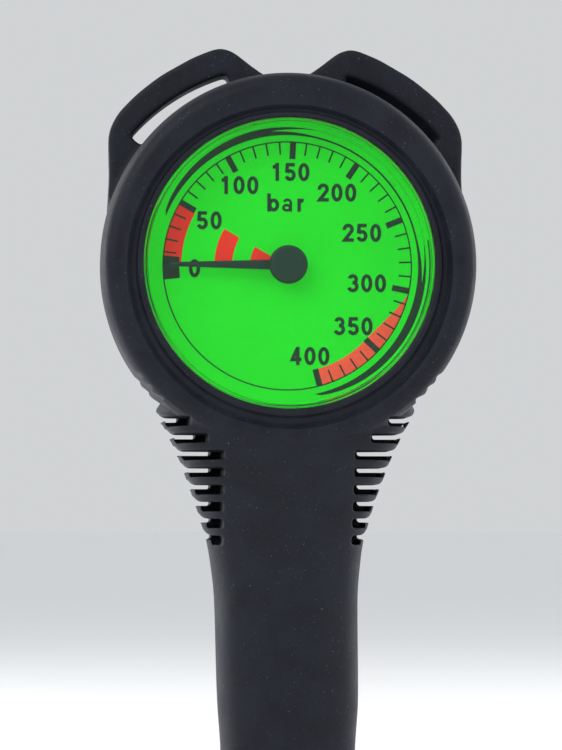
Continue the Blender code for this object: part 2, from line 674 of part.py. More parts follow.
def build_tube():
    """The Bourdon tube, its end piece and the pin that carries the link."""
    flat_half = TUBE_WIDTH / 2 - TUBE_DEPTH / 2
    section = arc(TUBE_DEPTH / 2, 180.0, 0.0, 3, (TUBE_RADIUS, TUBE_MID + flat_half))
    section += arc(TUBE_DEPTH / 2, 0.0, -180.0, 3, (TUBE_RADIUS, TUBE_MID - flat_half))
    sweep = TUBE_ROOT_ANGLE - TUBE_TIP_ANGLE
    tube = turned("bourdon_tube", section, BRASS, 28, closed=True, sweep=sweep, start=TUBE_TIP_ANGLE)
    wall = tube.modifiers.new("wall", "SOLIDIFY")
    wall.thickness = TUBE_WALL * MM
    wall.offset = -1.0
    put(tube, TUBE_FLEX_FRAME)
    turn = Matrix.Rotation(math.radians(TUBE_TIP_ANGLE - 6.0), 4, "Z")
    half, deep = END_PIECE_HALF
    low = (TUBE_RADIUS - half, -half, TUBE_MID - deep)
    high = (TUBE_RADIUS + half, half, TUBE_MID + deep)
    end_piece = put(block("tube_end_piece", low, high, BRASS, turn), TUBE_FLEX_FRAME)
    boss = put(rod("tip_boss", TIP_BOSS_RADIUS, -2.0, 1.5), TUBE_FLEX_FRAME, LINK_TIP, cutter=True)
    combine(end_piece, boss, "UNION")
    hole = put(rod("tip_hole", PIN_RADIUS + GAP, -0.4, 3.0), TUBE_FLEX_FRAME, LINK_TIP, cutter=True)
    combine(end_piece, hole, "DIFFERENCE")
    pin = [(0.0, 3.3), (0.9, 3.3), (0.9, 2.8), (PIN_RADIUS, 2.8), (PIN_RADIUS, 0.0), (0.0, 0.0)]
    put(turned("tip_pin", pin, STEEL, steps=16), TUBE_FLEX_FRAME, LINK_TIP)


def build_plates():
    """The two movement plates, their pillars and all their screws."""
    shafts = [circle(SHAFT_RADIUS + GAP, at) for at in ((0.0, 0.0), SECTOR_PIVOT)]
    socket_holes = [circle(SOCKET_SCREW_SHANK + GAP, at) for at in SOCKET_SCREWS.values()]
    pillar_holes = [circle(PILLAR_SCREW_SHANK + GAP, at) for at in PILLARS]
    for name, outline, holes, (low, high) in (
        ("movement_back_plate", BACK_PLATE_CORNERS, shafts + socket_holes, BACK_PLATE),
        ("movement_front_plate", FRONT_PLATE_CORNERS, shafts + pillar_holes, FRONT_PLATE),
    ):
        plate = flat(name, [softened(outline, cut=2.0), *holes], low, high, BRASS)
        put(plate, DIAL_FRAME, height=(low + high) / 2)
    for i, at in enumerate(PILLARS, start=1):
        build_pillar(i, at)
    for name, at in SOCKET_SCREWS.items():
        build_screw(name, at, head=1.8, shank=SOCKET_SCREW_SHANK, seat=BACK_PLATE[1] + GAP, end=-5.0)


def build_pillar(number, at):
    """A pillar between the plates, drilled for its screw, and the screw."""
    top = FRONT_PLATE[0] - GAP
    foot = BACK_PLATE[1] + GAP
    profile = [(1.0, top), (1.5, top), (1.5, foot), (0.0, foot), (0.0, 2.2), (1.0, 2.2)]
    pillar = turned(f"pillar_{number}", profile, BRASS, steps=16, closed=True)
    put(pillar, DIAL_FRAME, at)
    seat = FRONT_PLATE[1] + GAP
    build_screw(f"pillar_screw_{number}", at, 1.4, PILLAR_SCREW_SHANK, seat, end=2.5)


def build_screw(name, at, head, shank, seat, end):
    """A slotted cheese-head screw that goes in from the reader's side."""
    top = seat + 0.9
    profile = [(0.0, top), (head, top), (head, seat), (shank, seat), (shank, end), (0.0, end)]
    screw = put(turned(name, profile, STEEL, steps=12), DIAL_FRAME, at)
    slot = block(f"{name}_slot", (-3.0, -0.2, top - 0.4), (3.0, 0.2, top + 1.0))
    combine(screw, put(slot, DIAL_FRAME, at, cutter=True), "DIFFERENCE")


def build_case_screws():
    """The two screws that go in through the back of the case."""
    under_head = CASE_SCREW_SEAT - GAP
    end, top = under_head + 4.9, under_head - 0.7
    for name, at in CASE_SCREWS.items():
        profile = [
            (0.0, end), (CASE_SCREW_SHANK, end), (CASE_SCREW_SHANK, under_head),
            (CASE_SCREW_HEAD, under_head), (CASE_SCREW_HEAD, top), (0.0, top),
        ]
        put(turned(name, profile, STEEL, steps=16), DIAL_FRAME, at)


def build_socket():
    """The socket block inside the case and the stem with its port, in one piece."""
    low = (-BLOCK_HALF_WIDTH, BLOCK_Y[0], BLOCK_Z[0])
    high = (BLOCK_HALF_WIDTH, BLOCK_Y[1], BLOCK_Z[1])
    socket = put(block("socket_stem", low, high, BRASS), STEM_FRAME)
    stem = [
        (0.0, BLOCK_Z[0] + 0.6),
        (STEM_RADIUS, BLOCK_Z[0] + 0.6),
        (STEM_RADIUS, STEM_FLANGE_Z[1]),
        (STEM_FLANGE_RADIUS, STEM_FLANGE_Z[1]),
        (STEM_FLANGE_RADIUS, STEM_FLANGE_Z[0] - 0.5),
        (0.0, STEM_FLANGE_Z[0] - 0.5),
    ]
    hexagon = rod("stem_hexagon", HEX_ACROSS_FLATS / math.sqrt(3), 0.0, STEM_FLANGE_Z[0], sides=6)
    combine(socket, put(turned("stem_shank", stem, steps=24), STEM_FRAME, cutter=True), "UNION")
    combine(socket, put(hexagon, STEM_FRAME, cutter=True), "UNION")
    port = rod("inlet_port", PORT_RADIUS, -5.0, PORT_DEPTH, sides=24)
    combine(socket, put(port, STEM_FRAME, cutter=True), "DIFFERENCE")
    rise = rod("air_rise", AIRWAY_RADIUS, PORT_DEPTH - 2.0, 26.5, sides=12)
    combine(socket, put(rise, STEM_FRAME, (0.0, 2.5), cutter=True), "DIFFERENCE")
    sideways = Matrix.Translation((0.0, 2.5, 26.0)) @ Matrix.Rotation(-math.pi / 2, 4, "Y")
    crossing = rod("air_crossing", AIRWAY_RADIUS, 0.0, 12.0, sides=12, matrix=sideways)
    combine(socket, put(crossing, STEM_FRAME, cutter=True), "DIFFERENCE")
    for name, at in SOCKET_SCREWS.items():
        hole = rod(f"{name}_hole", SOCKET_SCREW_SHANK + GAP, -5.5, 3.0)
        combine(socket, put(hole, DIAL_FRAME, at, cutter=True), "DIFFERENCE")
    for name, at in CASE_SCREWS.items():
        hole = rod(f"{name}_hole", CASE_SCREW_SHANK + GAP, -12.0, -5.9)
        combine(socket, put(hole, DIAL_FRAME, at, cutter=True), "DIFFERENCE")


def build_stem_gasket():
    """The flat gasket between the case's boss and the stem's flange."""
    top = DIAL_HEIGHT - BOSS_DEPTH - GAP
    foot = STEM_FLANGE_Z[1] + GAP
    inner = STEM_RADIUS + GAP
    profile = [(inner, top), (GASKET_RADIUS, top), (GASKET_RADIUS, foot), (inner, foot)]
    put(turned("stem_gasket", profile, SEAL, steps=32, closed=True), STEM_FRAME)


def build_spool():
    """The hollow swivel spool that the hose fitting turns on, with its two O-rings."""
    top, foot = SPOOL_ENDS
    half, chamfer = 0.85, 0.4
    profile = [(SPOOL_BORE, top), (SPOOL_RADIUS - chamfer, top), (SPOOL_RADIUS, top - chamfer)]
    for seat in SPOOL_SEATS:
        profile += [
            (SPOOL_RADIUS, seat + half),
            (SPOOL_GROOVE, seat + half),
            (SPOOL_GROOVE, seat - half),
            (SPOOL_RADIUS, seat - half),
        ]
    profile += [(SPOOL_RADIUS, foot + chamfer), (SPOOL_RADIUS - chamfer, foot), (SPOOL_BORE, foot)]
    put(turned("swivel_spool", profile, STEEL, steps=20, closed=True), SWIVEL_FRAME)
    for name, seat in zip(("spool_o_ring_upper", "spool_o_ring_lower"), SPOOL_SEATS):
        put(ring(name, 2.8, 0.5, seat, SEAL, steps=20), SWIVEL_FRAME)


def build_relief_plug():
    """The blow-out plug in the middle of the case's back."""
    profile = [
        (0.0, CASE_BACK + CASE_WALL + 0.6),
        (PLUG_RADIUS, CASE_BACK + CASE_WALL + 0.6),
        (PLUG_RADIUS, CASE_BACK - GAP),
        (PLUG_FLANGE, CASE_BACK - GAP),
        (PLUG_FLANGE, CASE_BACK - GAP - 0.9),
        (PLUG_FLANGE - 0.5, CASE_BACK - GAP - 1.3),
        (0.0, CASE_BACK - GAP - 1.3),
    ]
    put(turned("relief_plug", profile, SEAL, steps=24), DIAL_FRAME)


def main():
    """Build every piece of the gauge."""
    build_boot()
    build_case()
    build_window()
    build_dial()
    build_pointer()
    build_pinion()
    build_hairspring()
    build_sector()
    build_link()
    build_tube()
    build_plates()
    build_case_screws()
    build_socket()
    build_stem_gasket()
    build_spool()
    build_relief_plug()


main()
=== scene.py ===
"""Looks of an air pack's contents gauge: rubber boot, clear lens, luminous dial with a painted glow, print
and pointer.

Shapes are made in millimetres in the dial frame: u to the right, v up and h towards the reader,
from the centre of the dial. DIAL_TO_WORLD takes them to the model's own frame.
"""

import math

import bmesh
import bpy
from mathutils import Matrix, Vector


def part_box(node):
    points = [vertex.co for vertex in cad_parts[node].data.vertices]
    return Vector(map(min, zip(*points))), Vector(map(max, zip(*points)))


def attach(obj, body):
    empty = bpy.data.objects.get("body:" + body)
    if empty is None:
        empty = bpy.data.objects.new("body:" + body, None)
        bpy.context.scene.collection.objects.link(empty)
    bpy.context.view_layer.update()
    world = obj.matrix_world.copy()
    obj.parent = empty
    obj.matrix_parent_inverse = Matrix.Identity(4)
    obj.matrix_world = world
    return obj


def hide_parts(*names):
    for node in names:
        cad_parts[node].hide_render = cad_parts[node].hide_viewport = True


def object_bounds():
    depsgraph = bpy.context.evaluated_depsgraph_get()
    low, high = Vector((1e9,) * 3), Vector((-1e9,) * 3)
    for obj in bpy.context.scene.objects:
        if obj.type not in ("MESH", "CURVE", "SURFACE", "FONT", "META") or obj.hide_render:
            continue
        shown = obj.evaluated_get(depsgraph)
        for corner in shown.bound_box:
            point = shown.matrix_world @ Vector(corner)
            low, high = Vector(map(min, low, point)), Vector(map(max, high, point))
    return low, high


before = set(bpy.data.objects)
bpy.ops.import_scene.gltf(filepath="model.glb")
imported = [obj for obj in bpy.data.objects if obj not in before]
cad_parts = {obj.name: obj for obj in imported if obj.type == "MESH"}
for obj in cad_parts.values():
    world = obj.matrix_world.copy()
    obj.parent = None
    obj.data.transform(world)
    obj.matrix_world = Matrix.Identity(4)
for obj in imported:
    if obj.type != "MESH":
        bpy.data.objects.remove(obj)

MM = 0.001
CAD_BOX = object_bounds()
PLATE_LOW, PLATE_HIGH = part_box("dial_plate")
DIAL_CENTRE = Vector(((PLATE_LOW.x + PLATE_HIGH.x) / 2, 0.0, (PLATE_LOW.z + PLATE_HIGH.z) / 2))
DIAL_TO_WORLD = (
    Matrix.Translation(DIAL_CENTRE) @ Matrix.Rotation(math.pi / 2, 4, "X") @ Matrix.Scale(MM, 4)
)


def box_mm(node):
    """A node's lowest and highest corners (u, v, h) in millimetres."""
    low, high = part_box(node)
    low, high = (low - DIAL_CENTRE) / MM, (high - DIAL_CENTRE) / MM
    corners = (low.x, low.z, -high.y), (high.x, high.z, -low.y)
    return tuple(Vector(round(value, 3) for value in corner) for corner in corners)


# Sizes read from the model
DIAL_FACE = box_mm("dial_plate")[1].z
CASE_RADIUS = box_mm("gauge_case")[1].x
CASE_BACK = box_mm("gauge_case")[0].z
LENS_RADIUS = box_mm("lens")[1].x
LENS_BACK = box_mm("lens")[0].z
LENS_FRONT = box_mm("lens")[1].z
BOOT_RADIUS = box_mm("rubber_boot")[1].x
BOOT_BACK = box_mm("rubber_boot")[0].z
BOOT_CREST = box_mm("rubber_boot")[1].z
SLEEVE_END = box_mm("rubber_boot")[0].y
NEEDLE_LENGTH = -box_mm("pointer")[0].x
NEEDLE_BACK = box_mm("pointer")[0].z
NEEDLE_FRONT = box_mm("pointer")[1].z
CAP_RADIUS = box_mm("pointer_cap")[1].x
CAP_BACK = box_mm("pointer_cap")[0].z
CAP_FRONT = box_mm("pointer_cap")[1].z
SPACER_RADIUS = box_mm("dial_spacer_ring")[1].x
SPACER_BACK = box_mm("dial_spacer_ring")[0].z
SPACER_FRONT = box_mm("dial_spacer_ring")[1].z

# Boot
GAP = 0.3
VOXEL = 0.29                    # cell size that the moulding is rebuilt from
WINDOW = 27.82                  # radius of the lens window
LIP_BACK = 17.3
LIP_FRONT = 18.4
GROOVE_RADIUS = 30.9            # inner edge of the rounded band
GROOVE_SHIFT = -0.7             # the band's inner edge sits this much lower than the lens
CROWN = 0.7                     # extra height of the head's top, stretched over the case
VENT_RADIUS = 7.0
HOSE_BORE = 9.2
LUG_SPAN = (-0.5, 6.5)
LUG_CORNERS = (                 # corners of the right-hand lug beyond the head
    (34.9, 8.5), (34.4, 17.5), (34.6, 26.2), (32.8, 29.9), (28.9, 33.9), (24.6, 37.3),
    (18.2, 41.0), (13.2, 43.0), (10.5, 42.4), (5.8, 38.7), (2.6, 36.8),
)
LUG_ROOTS = (13.0, 88.0)        # degrees from +u, where its edge leaves the head
SLOT_RADIUS = 38.15
SLOT_WIDTH = 2.7
SLOT_ANGLES = (40.0, 73.0)
SLOT_SLANT = {1: 2.0, -1: 0.0}  # how far each slot runs inwards from front to back, by side
FIN_SLOTS = 8
FIN_FIRST = -29.96              # v of the lower edge of the highest see-through slit
FIN_PITCH = 3.25
FIN_ENDS = (18.8, 12.4)         # inner ends of the highest and the deepest slots
FIN_STEP = 3.4                  # each slot reaches this much further in than the one above
FIN_SLIT = 0.72                 # height that can be seen through
FIN_RECESS = 1.05               # depth of the pockets above and below each slit
FIN_TIP_WALL = 1.2              # left between a fin's tip and the pocket in its front
FIN_ROUND = (2.0, 1.15)         # rounding of a fin's lower outer corner
NOTCHES = (-26.13, -23.91, -21.87)   # v of the small notches above the fins
NOTCH_DEPTH = 1.5
SLEEVE_LEAN = 0.7               # how far the soft sleeve leans to the right
LEAN_TOP = -45.0                # v where the lean begins
LEAN_HEIGHT = 40.0              # the height over which it grows to its full value

# The neck and sleeve: v, half width, front depth, back depth, squareness of the section
NECK_SECTIONS = (
    (-16.0, 18.0, 12.0, 12.0, 3.0),
    (-24.0, 21.8, 15.4, 13.6, 3.6),
    (-25.9, 23.4, 16.8, 13.6, 3.8),
    (-27.0, 24.8, 17.6, 13.6, 3.8),
    (-28.2, 25.1, 18.2, 13.6, 3.8),
    (-31.2, 23.4, 18.9, 13.5, 3.8),
    (-34.5, 21.8, 19.0, 13.4, 3.6),
    (-37.6, 20.4, 18.4, 13.2, 3.4),
    (-40.9, 19.2, 17.2, 13.0, 3.2),
    (-44.0, 18.1, 15.9, 12.8, 3.0),
    (-47.0, 17.1, 14.7, 12.6, 2.9),
    (-50.4, 16.1, 13.6, 12.4, 2.8),
    (-53.5, 15.2, 12.9, 12.2, 2.7),
    (-58.4, 14.5, 12.2, 12.0, 2.6),
    (-64.0, 14.0, 12.0, 12.0, 2.6),
    (-84.0, 13.7, 12.0, 12.0, 2.6),
    (-93.0, 13.1, 11.9, 11.9, 2.6),
    (-105.6, 12.8, 11.8, 11.8, 2.6),
    (-107.0, 13.3, 12.4, 12.4, 2.6),
    (-109.4, 13.3, 12.4, 12.4, 2.6),
    (SLEEVE_END, 12.8, 11.9, 11.9, 2.6),
)

# Dial print, in millimetres from the dial's centre and degrees anticlockwise from +u
PRINT_THICKNESS = 0.02
SCALE_RADIUS = 23.8
SCALE_LINE = 0.26
SHADE_LINE_RADII = (26.95, 27.2)        # radii of the dark painted shade line on the spacer ring
MAJOR_ANGLES = (149.5, 118.9, 87.4, 55.6, 22.2, -11.6, -43.2, -75.0)   # every 50 bar from 50
ZERO_ANGLE = 180.0
MAJOR_TICK = (3.3, 1.15)        # length, width
MINOR_TICK = (2.4, 0.32)
NUMERAL_HEIGHT = 3.5
STROKE = 0.2                    # the numerals' stroke, as a share of their height
NUMERALS = {                    # where each numeral's middle is
    "0": (-17.8, -0.6), "50": (-15.0, 8.6), "100": (-9.3, 15.4), "150": (0.5, 18.0),
    "200": (9.5, 14.1), "250": (14.3, 6.4), "300": (15.2, -3.3), "350": (12.6, -11.55),
    "400": (4.3, -17.3), "bar": (-0.1, 12.1),
}


def polar(radius, degrees):
    """Point at a radius and an angle round the dial's centre."""
    angle = math.radians(degrees)
    return (radius * math.cos(angle), radius * math.sin(angle))


def arc(radius, start, end, count):
    """Points along an arc, both ends included."""
    return [polar(radius, start + (end - start) * i / count) for i in range(count + 1)]


def softened(corners, cut=1.5, count=6, closed=True):
    """An outline whose corners are rounded off by short curves."""
    points = []
    before_each = corners[-1:] + corners[:-1]
    after_each = corners[1:] + corners[:1]
    for i, (before, corner, after) in enumerate(zip(before_each, corners, after_each)):
        if not closed and i in (0, len(corners) - 1):
            points.append(corner)
            continue
        here = Vector(corner)
        to_before = Vector(before) - here
        to_after = Vector(after) - here
        start = here + to_before.normalized() * min(cut, to_before.length / 2.1)
        end = here + to_after.normalized() * min(cut, to_after.length / 2.1)
        for j in range(count + 1):
            t = j / count
            point = start * (1 - t) ** 2 + here * 2 * t * (1 - t) + end * t ** 2
            points.append((point.x, point.y))
    return points


def mesh_piece(name, bm, looks=None, sharp=35.0):
    """Turn a bmesh, made in millimetres in the dial frame, into a piece."""
    bmesh.ops.transform(bm, matrix=DIAL_TO_WORLD, verts=bm.verts)
    bmesh.ops.recalc_face_normals(bm, faces=bm.faces)
    mesh = bpy.data.meshes.new(name)
    bm.to_mesh(mesh)
    bm.free()
    mesh.shade_smooth()
    mesh.set_sharp_from_angle(angle=math.radians(sharp))
    if looks:
        mesh.materials.append(looks)
    piece = bpy.data.objects.new(name, mesh)
    bpy.context.scene.collection.objects.link(piece)
    return piece


def turned(name, profile, looks=None, steps=256, closed=False, warp=None, sharp=35.0):
    """A profile of (radius, height) points turned about the dial's axis."""
    bm = bmesh.new()
    columns = []
    poles = {}
    for step in range(steps):
        column = []
        for i, (radius, height) in enumerate(profile):
            if radius < 1e-6:
                if i not in poles:
                    poles[i] = bm.verts.new((0.0, 0.0, height))
                column.append(poles[i])
                continue
            u, v = polar(radius, 360.0 * step / steps)
            if warp:
                u, v = warp(u, v, radius)
            column.append(bm.verts.new((u, v, height)))
        columns.append(column)
    count = len(profile)
    last = count if closed else count - 1
    for here, there in zip(columns, columns[1:] + columns[:1]):
        for i in range(last):
            j = (i + 1) % count
            corners = [here[i], there[i], there[j], here[j]]
            bm.faces.new(list(dict.fromkeys(corners)))
    return mesh_piece(name, bm, looks, sharp)


def evaluated(piece):
    """Apply a piece's modifiers."""
    graph = bpy.context.evaluated_depsgraph_get()
    mesh = bpy.data.meshes.new_from_object(piece.evaluated_get(graph))
    piece.modifiers.clear()
    old = piece.data
    piece.data = mesh
    bpy.data.meshes.remove(old)
    return piece


def combine(piece, other, operation):
    """Apply an EXACT Boolean with another piece, which is used up."""
    modifier = piece.modifiers.new(operation.lower(), "BOOLEAN")
    modifier.operation = operation
    modifier.solver = "EXACT"
    modifier.object = other
    evaluated(piece)
    bpy.data.objects.remove(other, do_unlink=True)
    return piece


def plate(name, outlines, low, high, looks=None):
    """A flat piece: filled outlines with holes, between two heights."""
    curve = bpy.data.curves.new(name, "CURVE")
    curve.dimensions = "2D"
    curve.fill_mode = "BOTH"
    curve.extrude = (high - low) / 2
    for outline in outlines:
        spline = curve.splines.new("POLY")
        spline.points.add(len(outline) - 1)
        for point, (u, v) in zip(spline.points, outline):
            point.co = (u, v, 0.0, 1.0)
        spline.use_cyclic_u = True
    return flat_piece(name, curve, (low + high) / 2, looks)


def flat_piece(name, curve, middle, looks):
    """Turn a flat curve, made in millimetres, into a mesh piece at a height."""
    holder = bpy.data.objects.new(name + "_outline", curve)
    bpy.context.scene.collection.objects.link(holder)
    graph = bpy.context.evaluated_depsgraph_get()
    mesh = bpy.data.meshes.new_from_object(holder.evaluated_get(graph))
    bpy.data.objects.remove(holder, do_unlink=True)
    bm = bmesh.new()
    bm.from_mesh(mesh)
    bpy.data.meshes.remove(mesh)
    bmesh.ops.remove_doubles(bm, verts=bm.verts, dist=0.0005)
    bmesh.ops.translate(bm, verts=bm.verts, vec=(0.0, 0.0, middle))
    return mesh_piece(name, bm, looks)


def between(rows, step):
    """Rows interpolated smoothly along their first column."""
    made = []
    for i in range(len(rows) - 1):
        p1, p2 = Vector(rows[i]), Vector(rows[i + 1])
        p0 = Vector(rows[max(i - 1, 0)])
        p3 = Vector(rows[min(i + 2, len(rows) - 1)])
        span = p2[0] - p1[0]
        slope1 = (p2 - p0) / (p2[0] - p0[0])
        slope2 = (p3 - p1) / (p3[0] - p1[0])
        count = max(1, round(abs(span) / step))
        for j in range(count):
            t = j / count
            row = p1 * (2 * t ** 3 - 3 * t ** 2 + 1) + slope1 * span * (t ** 3 - 2 * t ** 2 + t)
            row += p2 * (3 * t ** 2 - 2 * t ** 3) + slope2 * span * (t ** 3 - t ** 2)
            made.append(tuple(row))
    made.append(rows[-1])
    return made


def neck():
    """The neck and hose sleeve, lofted down from inside the head."""
    bm = bmesh.new()
    around = 96
    loops = []
    for v, width, front, back, square in between(NECK_SECTIONS, 0.7):
        lean = SLEEVE_LEAN * min(1.0, max(0.0, (LEAN_TOP - v) / LEAN_HEIGHT))
        loop = []
        for i in range(around):
            angle = 2 * math.pi * i / around
            across = math.copysign(abs(math.cos(angle)) ** (2 / square), math.cos(angle))
            deep = math.copysign(abs(math.sin(angle)) ** (2 / square), math.sin(angle))
            depth = deep * (front if deep > 0 else back)
            loop.append(bm.verts.new((lean + width * across, v, depth)))
        loops.append(loop)
    for upper, lower in zip(loops, loops[1:]):
        for i in range(around):
            j = (i + 1) % around
            bm.faces.new((upper[i], upper[j], lower[j], lower[i]))
    bm.faces.new(loops[0])
    bm.faces.new(loops[-1])
    return mesh_piece("boot", bm)


def head():
    """The boot's round head, with its rounded band and a soft edge at the back."""
    profile = [
        (0.0, BOOT_CREST - 1.0),
        (GROOVE_RADIUS - 1.0, BOOT_CREST - 1.0),
        (GROOVE_RADIUS + 0.3, BOOT_CREST - 0.35),
        (BOOT_RADIUS - 3.2, BOOT_CREST),
        (BOOT_RADIUS - 2.0, BOOT_CREST - 0.3),
        (BOOT_RADIUS - 1.0, BOOT_CREST - 1.2),
        (BOOT_RADIUS - 0.3, BOOT_CREST - 2.8),
        (BOOT_RADIUS, BOOT_CREST - 5.2),
        (BOOT_RADIUS, 4.0),
        (BOOT_RADIUS - 0.2, -4.0),
        (BOOT_RADIUS - 0.8, -9.0),
        (BOOT_RADIUS - 2.0, BOOT_BACK + 2.4),
        (BOOT_RADIUS - 4.4, BOOT_BACK),
        (0.0, BOOT_BACK),
    ]
    return turned("boot_head", profile, steps=192, warp=crowned)


def crowned(u, v, _radius):
    """Stretch the upper half of the head upwards."""
    return u, v + CROWN * max(0.0, v / BOOT_RADIUS) ** 2


def lug(side):
    """A strap lug, not yet slotted; side is 1 for the right and -1 for the left."""
    low_root, high_root = (polar(BOOT_RADIUS - 2.4, angle) for angle in LUG_ROOTS)
    outline = softened([low_root, *LUG_CORNERS, high_root], cut=1.9)
    return plate(f"boot_lug_{side}", [[(side * u, v) for u, v in outline]], *LUG_SPAN)


def strap_slot(side):
    """The curved slot in a lug, which may slant towards the head's back."""
    first, last = SLOT_ANGLES
    outline = arc(SLOT_RADIUS + SLOT_WIDTH / 2, first, last, 24)
    outline += arc(SLOT_RADIUS - SLOT_WIDTH / 2, last, first, 24)
    outline = [(side * u, v) for u, v in softened(outline, cut=0.9, count=4)]
    low, high = LUG_SPAN
    slot = plate(f"boot_slot_{side}", [outline], low - 0.4, high + 0.4)
    to_dial = DIAL_TO_WORLD.inverted()
    for vertex in slot.data.vertices:
        u, v, h = to_dial @ vertex.co
        pull = 1.0 - SLOT_SLANT[side] * (high - h) / (high - low) / math.hypot(u, v)
        vertex.co = DIAL_TO_WORLD @ Vector((u * pull, v * pull, h))
    return slot


def half_width(v):
    """The neck's half width at a height."""
    rows = between(NECK_SECTIONS, 0.2)
    return min(rows, key=lambda row: abs(row[0] - v))[1]


def slot_outline(foot, top, inner, pocket=0.0):
    """A slot between two fins, which rounds off the fin above and sinks a pocket into the one below."""
    tip = half_width(top)
    beyond = BOOT_RADIUS + 10.0
    across, up = FIN_ROUND
    outline = [(inner, top), (inner, foot - pocket)]
    if pocket:
        outline += [(tip - FIN_TIP_WALL, foot - pocket), (tip - FIN_TIP_WALL, foot)]
    outline += [(beyond, foot), (beyond, top + up), (tip + 0.3, top + up)]
    for i in range(8):
        angle = math.radians(10.0 * i)
        outline.append((tip - across * (1 - math.cos(angle)), top + up * (1 - math.sin(angle))))
    return outline


def notches(side):
    """Small notches in the head's edge, just above the fins."""
    reach, rise, drop = 5.0, 2.2, 1.6
    cutters = []
    for i, v in enumerate(NOTCHES):
        u = math.sqrt(BOOT_RADIUS ** 2 - v ** 2) - NOTCH_DEPTH
        outline = [(side * u, v), (side * (u + reach), v + rise), (side * (u + reach), v - drop)]
        cutters.append(plate(f"notch_{i}", [outline], -30.0, 30.0))
    return cutters


def fin_slots(side):
    """The slots on one side: front and back cuts that meet in a narrow slit."""
    first_end, deepest_end = FIN_ENDS
    overlap, foot_offset = 0.4, 0.04
    cutters = []
    for i in range(FIN_SLOTS):
        foot = FIN_FIRST - FIN_PITCH * i
        top = foot + FIN_SLIT
        front_end = max(deepest_end, first_end - FIN_STEP * i)
        front = slot_outline(foot, top, front_end, pocket=FIN_RECESS)
        back = slot_outline(foot + foot_offset, top + FIN_RECESS, front_end + 2.0)
        for name, outline, span in (
            ("front", front, (-overlap, 40.0)), ("back", back, (-40.0, overlap)),
        ):
            cutters.append(plate(f"fin_{name}_{i}", [[(side * u, v) for u, v in outline]], *span))
    return cutters


def remesh(piece):
    """Rebuild a solid from small cells."""
    cells = piece.modifiers.new("cells", "REMESH")
    cells.mode = "VOXEL"
    cells.voxel_size = VOXEL * MM * 1.0
    return evaluated(piece)


def soften(piece, rounds, group=""):
    """Round off edges by smoothing, only where a vertex group says if one is named."""
    modifier = piece.modifiers.new("soften", "SMOOTH")
    modifier.factor = 0.5
    modifier.iterations = rounds
    modifier.vertex_group = group
    return evaluated(piece)


def group_away_from_fins(piece):
    """A vertex group that fades to nothing over the fins."""
    group = piece.vertex_groups.new(name="away_from_fins")
    to_dial = DIAL_TO_WORLD.inverted()
    low, high = FIN_FIRST - FIN_PITCH * FIN_SLOTS - 1.5, FIN_FIRST + 3.5
    inner_end, fade, steps = 10.5, 2.0, 20
    levels = {}
    for vertex in piece.data.vertices:
        u, v, _ = to_dial @ vertex.co
        outside = max(low - v, v - high, inner_end - abs(u), 0.0)
        levels.setdefault(round(min(1.0, outside / fade) * steps), []).append(vertex.index)
    for level, vertices in levels.items():
        group.add(vertices, level / steps, "REPLACE")
    return group.name


def groove_warp(u, v, radius):
    """Lower the band's inner edge, and nothing well inside or outside it."""
    away = abs(radius - GROOVE_RADIUS) / 2.4
    return u, v + GROOVE_SHIFT * max(0.0, 1.0 - away * away)


def head_hollow():
    """The space for the case, with the stepped lens window in front and the vent behind."""
    profile = [
        (0.0, BOOT_CREST + 5.0),
        (GROOVE_RADIUS + 1.0, BOOT_CREST + 5.0),
        (GROOVE_RADIUS + 0.25, BOOT_CREST - 0.2),
        (GROOVE_RADIUS, BOOT_CREST - 0.7),
        (GROOVE_RADIUS - 0.35, BOOT_CREST - 1.5),
        (GROOVE_RADIUS - 0.8, BOOT_CREST - 2.0),
        (CASE_RADIUS - 3.0, BOOT_CREST - 2.0),
        (CASE_RADIUS - 3.0, LIP_BACK),
        (CASE_RADIUS + GAP, LIP_BACK),
        (CASE_RADIUS + GAP, CASE_BACK - GAP),
        (VENT_RADIUS, CASE_BACK - GAP),
        (VENT_RADIUS, CASE_BACK - 2.4),
        (VENT_RADIUS + 0.9, BOOT_BACK - 0.3),
        (VENT_RADIUS + 0.9, BOOT_BACK - 5.0),
        (0.0, BOOT_BACK - 5.0),
    ]
    return turned("boot_hollow", profile, warp=groove_warp)


def window_lip():
    """The thin lip round the lens, inside the band."""
    profile = softened([
        (WINDOW, LIP_BACK - 0.02),
        (WINDOW, LIP_FRONT - 0.5),
        (WINDOW + 0.3, LIP_FRONT - 0.02),
        (WINDOW + 1.1, LIP_FRONT),
        (WINDOW + 1.5, LIP_FRONT - 0.55),
        (GROOVE_RADIUS - 0.6, LIP_FRONT - 0.65),
        (GROOVE_RADIUS - 0.2, LIP_FRONT - 0.9),
        (GROOVE_RADIUS + 0.6, LIP_BACK - 0.02),
    ], cut=0.25, count=4)
    return turned("boot_lip", profile, closed=True, warp=groove_warp)


def hose_bore():
    """The channel up the sleeve, with a rounded mouth."""
    top = -25.0
    profile = [(0.0, SLEEVE_END - 5.0), (HOSE_BORE + 1.2, SLEEVE_END - 5.0)]
    profile += [(HOSE_BORE + 1.2, SLEEVE_END), (HOSE_BORE + 0.4, SLEEVE_END + 0.4)]
    profile += [(HOSE_BORE, SLEEVE_END + 1.3), (HOSE_BORE, top), (0.0, top)]
    bore = turned("boot_bore", profile, steps=128)
    turn = DIAL_TO_WORLD @ Matrix.Rotation(-math.pi / 2, 4, "X") @ DIAL_TO_WORLD.inverted()
    bore.data.transform(turn)
    return bore


